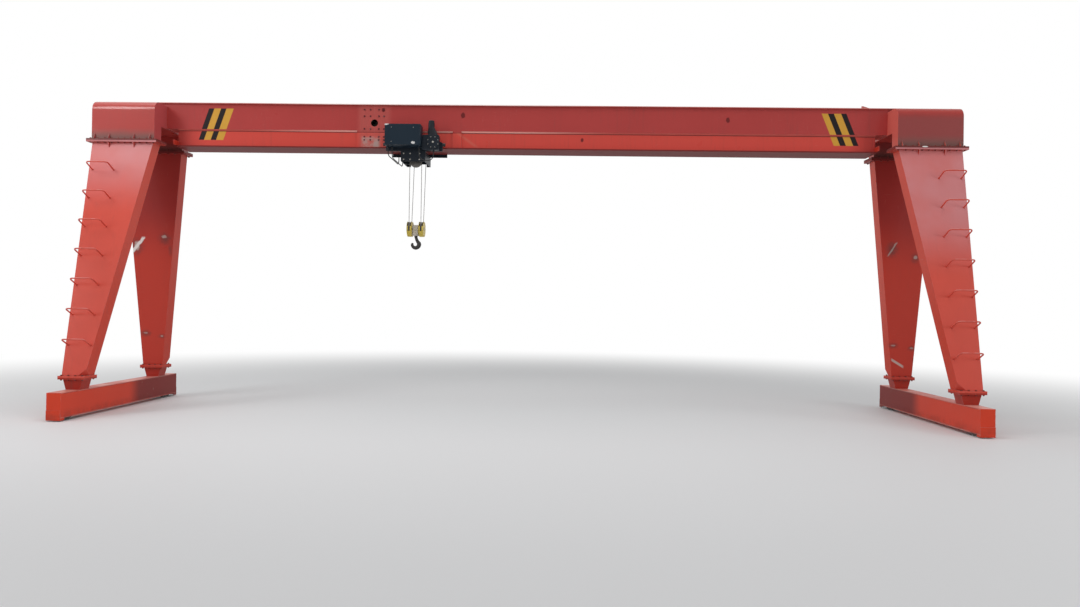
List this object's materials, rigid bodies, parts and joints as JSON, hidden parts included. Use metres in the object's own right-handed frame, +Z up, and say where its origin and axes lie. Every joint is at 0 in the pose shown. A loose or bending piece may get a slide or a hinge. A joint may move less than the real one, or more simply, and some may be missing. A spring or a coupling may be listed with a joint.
{
  "type": "single girder gantry crane",
  "caption": "Box girder gantry crane on low end carriages that run on floor rails, with a low headroom electric wire rope hoist, hook block and hook.",
  "frame": {"origin": "on the floor, midway between the four travel wheels, at the lowest point of their flanges", "axes": "+X along the girder, +Y along the rails away from the step irons, +Z up"},
  "size_m": [13.284, 3.156, 4.79],
  "materials": {
    "crane_paint": "gloss orange red paint with dust and scuffs",
    "hoist_paint": "satin blue black paint",
    "block_paint": "satin yellow paint",
    "crosshead_paint": "satin pale grey paint",
    "wheel_steel": "dark cast steel, worn treads",
    "steel": "machined steel",
    "rope": "greased wire rope",
    "hook_steel": "black forged steel",
    "rubber": "matte"
  },
  "bodies": {
    "gantry": {"bearing_caps": "steel", "end_carriage_left": "crane_paint", "end_carriage_right": "crane_paint", "girder_left": "crane_paint", "girder_right": "crane_paint", "girder_splice_plates": "steel", "leg_front_left": "crane_paint", "leg_front_right": "crane_paint", "leg_rear_left": "crane_paint", "leg_rear_right": "crane_paint", "leg_seats_left": "crane_paint", "leg_seats_right": "crane_paint", "rail_sweepers": "crane_paint", "runway_stops": "crane_paint", "saddle_left": "crane_paint", "saddle_right": "crane_paint", "step_irons_left": "crane_paint", "step_irons_right": "crane_paint", "travel_drives": "hoist_paint"},
    "travel wheel front left": {"travel_wheel_front_left": "wheel_steel"},
    "travel wheel front right": {"travel_wheel_front_right": "wheel_steel"},
    "travel wheel rear left": {"travel_wheel_rear_left": "wheel_steel"},
    "travel wheel rear right": {"travel_wheel_rear_right": "wheel_steel"},
    "trolley": {"trolley_side_plates": "hoist_paint", "trolley_wheels": "wheel_steel", "trolley_buffers": "rubber", "trolley_yoke": "hoist_paint", "return_sheave": "wheel_steel", "return_rope": "rope", "hoist_cabinet": "hoist_paint", "trolley_drive_case": "hoist_paint", "trolley_drive_motor": "hoist_paint", "rope_drum": "steel", "drum_supports": "hoist_paint", "hoist_gearbox": "hoist_paint", "hoist_motor": "hoist_paint", "hoist_cables": "rubber", "rope_falls_front": "rope", "rope_falls_rear": "rope"},
    "hook block": {"block_covers": "block_paint", "block_sheaves": "wheel_steel", "block_ropes": "rope", "block_axle": "steel", "block_crosshead": "crosshead_paint"},
    "hook": {"lifting_hook": "hook_steel"}
  },
  "joints": [
    {"name": "travel wheel front left spin", "type": "hinge", "parent": "gantry", "child": "travel wheel front left", "pos_m": [-6.25, -1.34, 0.14], "axis": [1, 0, 0], "continuous": true},
    {"name": "travel wheel front right spin", "type": "hinge", "parent": "gantry", "child": "travel wheel front right", "pos_m": [6.25, -1.34, 0.14], "axis": [1, 0, 0], "continuous": true},
    {"name": "travel wheel rear left spin", "type": "hinge", "parent": "gantry", "child": "travel wheel rear left", "pos_m": [-6.25, 1.34, 0.14], "axis": [1, 0, 0], "continuous": true},
    {"name": "travel wheel rear right spin", "type": "hinge", "parent": "gantry", "child": "travel wheel rear right", "pos_m": [6.25, 1.34, 0.14], "axis": [1, 0, 0], "continuous": true},
    {"name": "trolley travel", "type": "slide", "parent": "gantry", "child": "trolley", "axis": [1, 0, 0], "range_m": [-3.184, 6.474]},
    {"name": "hook lift", "type": "slide", "parent": "trolley", "child": "hook block", "axis": [0, 0, 1], "range_m": [-2.4, 0.7], "deforming": ["rope_falls_front", "rope_falls_rear"]},
    {"name": "hook swivel", "type": "hinge", "parent": "hook block", "child": "hook", "pos_m": [-1.645, 0, 2.74], "axis": [0, 0, 1], "continuous": true}
  ]
}
